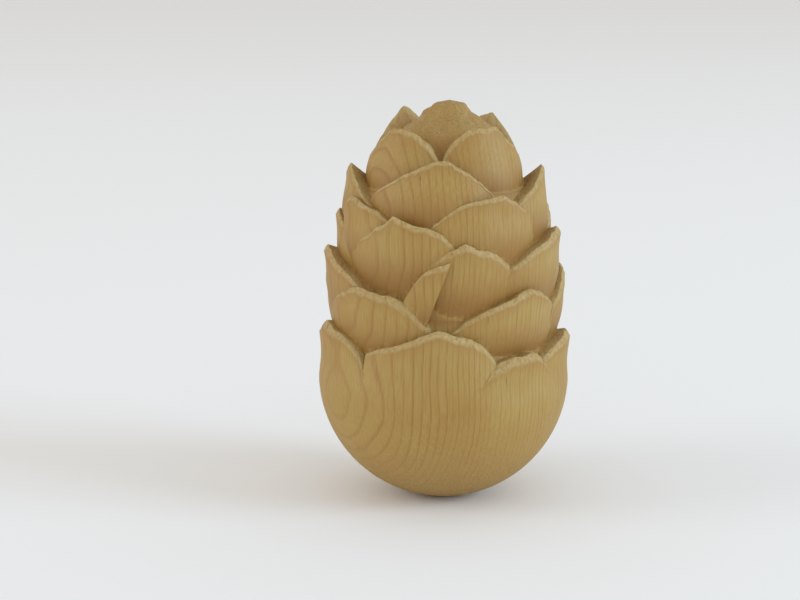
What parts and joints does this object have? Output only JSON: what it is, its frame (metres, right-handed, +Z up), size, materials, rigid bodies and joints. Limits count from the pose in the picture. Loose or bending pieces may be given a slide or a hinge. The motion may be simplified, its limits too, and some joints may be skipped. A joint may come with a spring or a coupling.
{
  "type": "carved wooden pine cone",
  "caption": "Ornamental pine cone turned and carved from one block of pale stone pine wood: round bowl below, overlapping pointed scales above, standing on a small flat spot.",
  "frame": {"origin": "centre of the flat spot that the cone stands on, on the axis of the turned bowl", "axes": "+Z up along the cone to its crown, -Y towards the side that the picture shows, +X to the right of it"},
  "size_m": [0.0601, 0.0598, 0.095],
  "materials": {
    "stone_pine": "untreated pale stone pine, sanded smooth on the faces and bowl, rough end grain on the scale rims"
  },
  "bodies": {
    "root": {"carved_cone": "stone_pine"}
  },
  "joints": []
}
